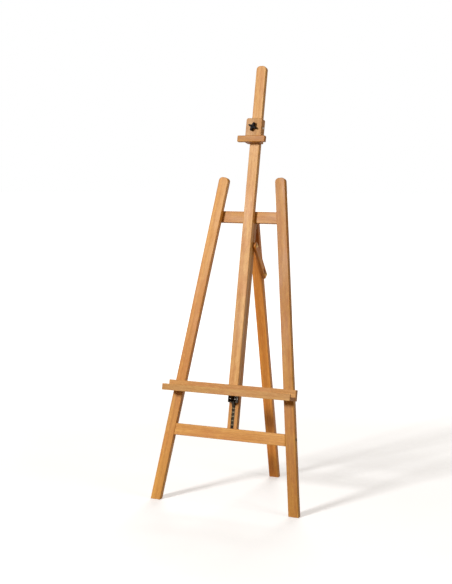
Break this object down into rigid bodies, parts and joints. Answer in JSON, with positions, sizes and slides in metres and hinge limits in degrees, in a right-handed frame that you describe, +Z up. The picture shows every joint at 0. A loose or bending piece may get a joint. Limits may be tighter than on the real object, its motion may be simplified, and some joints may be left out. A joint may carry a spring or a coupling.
{
  "type": "studio easel",
  "caption": "Folding wooden studio easel: splayed front frame, sliding mast with a canvas tray on a ratchet rack, sliding canvas clamp with a knob, and a rear leg held by a slotted stay.",
  "frame": {"origin": "on the floor, under the middle of the base: halfway between the outer edges of the two front feet, and halfway between their front edges and the back edge of the rear foot", "axes": "+Z up, +X to the easel's right-hand side as the painter sees it from the front, +Y from the front feet to the rear foot"},
  "size_m": [0.6878, 0.5932, 1.8698],
  "materials": {
    "oiled_beech": "oiled beech, satin, straight grain with small flecks",
    "black_steel": "black oxide steel, satin",
    "zinc_steel": "zinc plated steel, semi-gloss",
    "brass": "brass plated, satin",
    "black_plastic": "black moulded plastic, fine texture"
  },
  "bodies": {
    "frame": {"front_leg_left": "oiled_beech", "front_leg_right": "oiled_beech", "crossbar_bolt_left": "black_steel", "crossbar_bolt_right": "black_steel", "barrel_nut_left": "brass", "barrel_nut_right": "brass", "top_screw_left_lower": "zinc_steel", "top_screw_left_upper": "zinc_steel", "top_screw_right_lower": "zinc_steel", "top_screw_right_upper": "zinc_steel", "lower_crossbar": "oiled_beech", "top_crossbar": "oiled_beech", "centre_rail": "oiled_beech", "rail_dowel": "oiled_beech", "rail_screw_1": "zinc_steel", "rail_screw_2": "zinc_steel", "rack": "black_steel", "hinge_leaf_frame": "brass", "hinge_pin": "brass", "hinge_screw_frame_left": "brass", "hinge_screw_frame_right": "brass", "stay_pivot_bolt": "brass", "stay_washer": "brass"},
    "mast": {"mast": "oiled_beech", "tray_board": "oiled_beech", "tray_shelf": "oiled_beech", "tray_lip": "oiled_beech", "mast_yoke": "black_steel", "ratchet_housing": "black_steel", "pawl_spring": "zinc_steel", "pawl_pin": "zinc_steel", "tray_screw_1": "zinc_steel", "tray_screw_2": "zinc_steel", "yoke_screw_left": "zinc_steel", "yoke_screw_right": "zinc_steel", "housing_screw_left": "zinc_steel", "housing_screw_right": "zinc_steel"},
    "pawl": {"ratchet_pawl": "black_steel"},
    "clamp": {"clamp_block": "oiled_beech", "clamp_ledge": "oiled_beech", "clamp_stirrup": "black_steel", "clamp_insert": "brass", "stirrup_screw_left": "zinc_steel", "stirrup_screw_right": "zinc_steel", "ledge_screw_left": "zinc_steel", "ledge_screw_right": "zinc_steel"},
    "clamp_knob": {"clamp_knob": "black_plastic", "knob_stud": "zinc_steel", "pressure_pad": "black_plastic"},
    "rear_leg": {"rear_leg": "oiled_beech", "hinge_leaf_leg": "brass", "hinge_screw_leg_left": "brass", "hinge_screw_leg_right": "brass", "peg_washer": "brass", "stay_peg": "brass"},
    "stay": {"stay": "oiled_beech"}
  },
  "joints": [
    {"name": "mast_slide", "type": "slide", "parent": "frame", "child": "mast", "axis": [0, 0.2028, 0.9792], "range_m": [-0.072, 0.36]},
    {"name": "pawl_release", "type": "hinge", "parent": "mast", "child": "pawl", "pos_m": [0, -0.19316, 0.45037], "axis": [-1, 0, 0], "range_deg": [0, 22], "stiffness_Nm_per_rad": 0.04, "springref_deg": -11.46},
    {"name": "clamp_slide", "type": "slide", "parent": "mast", "child": "clamp", "axis": [0, 0.2028, 0.9792], "range_m": [-0.24, 0.225]},
    {"name": "clamp_knob_turn", "type": "hinge", "parent": "clamp", "child": "clamp_knob", "pos_m": [0, 0.00395, 1.60438], "axis": [0, -0.9792, 0.2028], "continuous": true},
    {"name": "rear_leg_fold", "type": "hinge", "parent": "frame", "child": "rear_leg", "pos_m": [0, 0.00607, 1.19545], "axis": [-1, 0, 0], "range_deg": [0, 23]},
    {"name": "stay_swing", "type": "hinge", "parent": "frame", "child": "stay", "pos_m": [0.03, -0.03149, 1.09396], "axis": [-1, 0, 0], "range_deg": [0, 35]}
  ],
  "couplings": [
    {"joint": "stay_swing", "follows": "rear_leg_fold", "ratio": 1.51}
  ]
}
